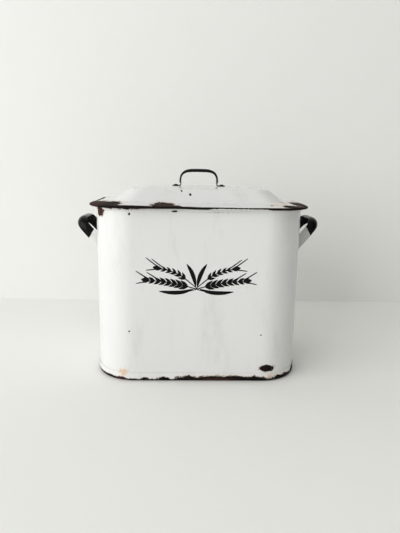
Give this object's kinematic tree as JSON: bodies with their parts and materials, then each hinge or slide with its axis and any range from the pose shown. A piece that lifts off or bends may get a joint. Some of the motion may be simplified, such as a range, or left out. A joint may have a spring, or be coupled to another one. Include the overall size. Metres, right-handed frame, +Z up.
{
  "type": "bread bin with lift-off lid",
  "caption": "Rounded-rectangular enamelled steel bread bin with a domed lift-off lid, a strap lid handle and strap side handles; holds bread, stands on its foot ring.",
  "frame": {"origin": "middle of the bounding box at the foot ring, on the surface the bin stands on", "axes": "+Z up, front towards -Y, +X through the right side handle, the long way"},
  "size_m": [0.3914, 0.241, 0.3213],
  "materials": {
    "white_enamel": "glossy vitreous enamel on steel, chipped and rusted at edges",
    "black_enamel": "glossy black vitreous enamel on steel",
    "bare_steel": "bare drawn wire, sealed inside the curled lid edge"
  },
  "bodies": {
    "bin": {"body_wall": "white_enamel", "base_pan": "white_enamel", "handle_left": "black_enamel", "handle_right": "black_enamel", "handle_left_rivets": "white_enamel", "handle_right_rivets": "white_enamel"},
    "lid": {"lid_pan": "white_enamel", "lid_edge_wire": "bare_steel", "lid_collar": "white_enamel", "lid_handle": "black_enamel", "lid_handle_rivets": "black_enamel"}
  },
  "joints": [
    {"name": "lid_lift", "type": "slide", "parent": "bin", "child": "lid", "axis": [0, 0, 1], "range_m": [0, 0.15]}
  ]
}
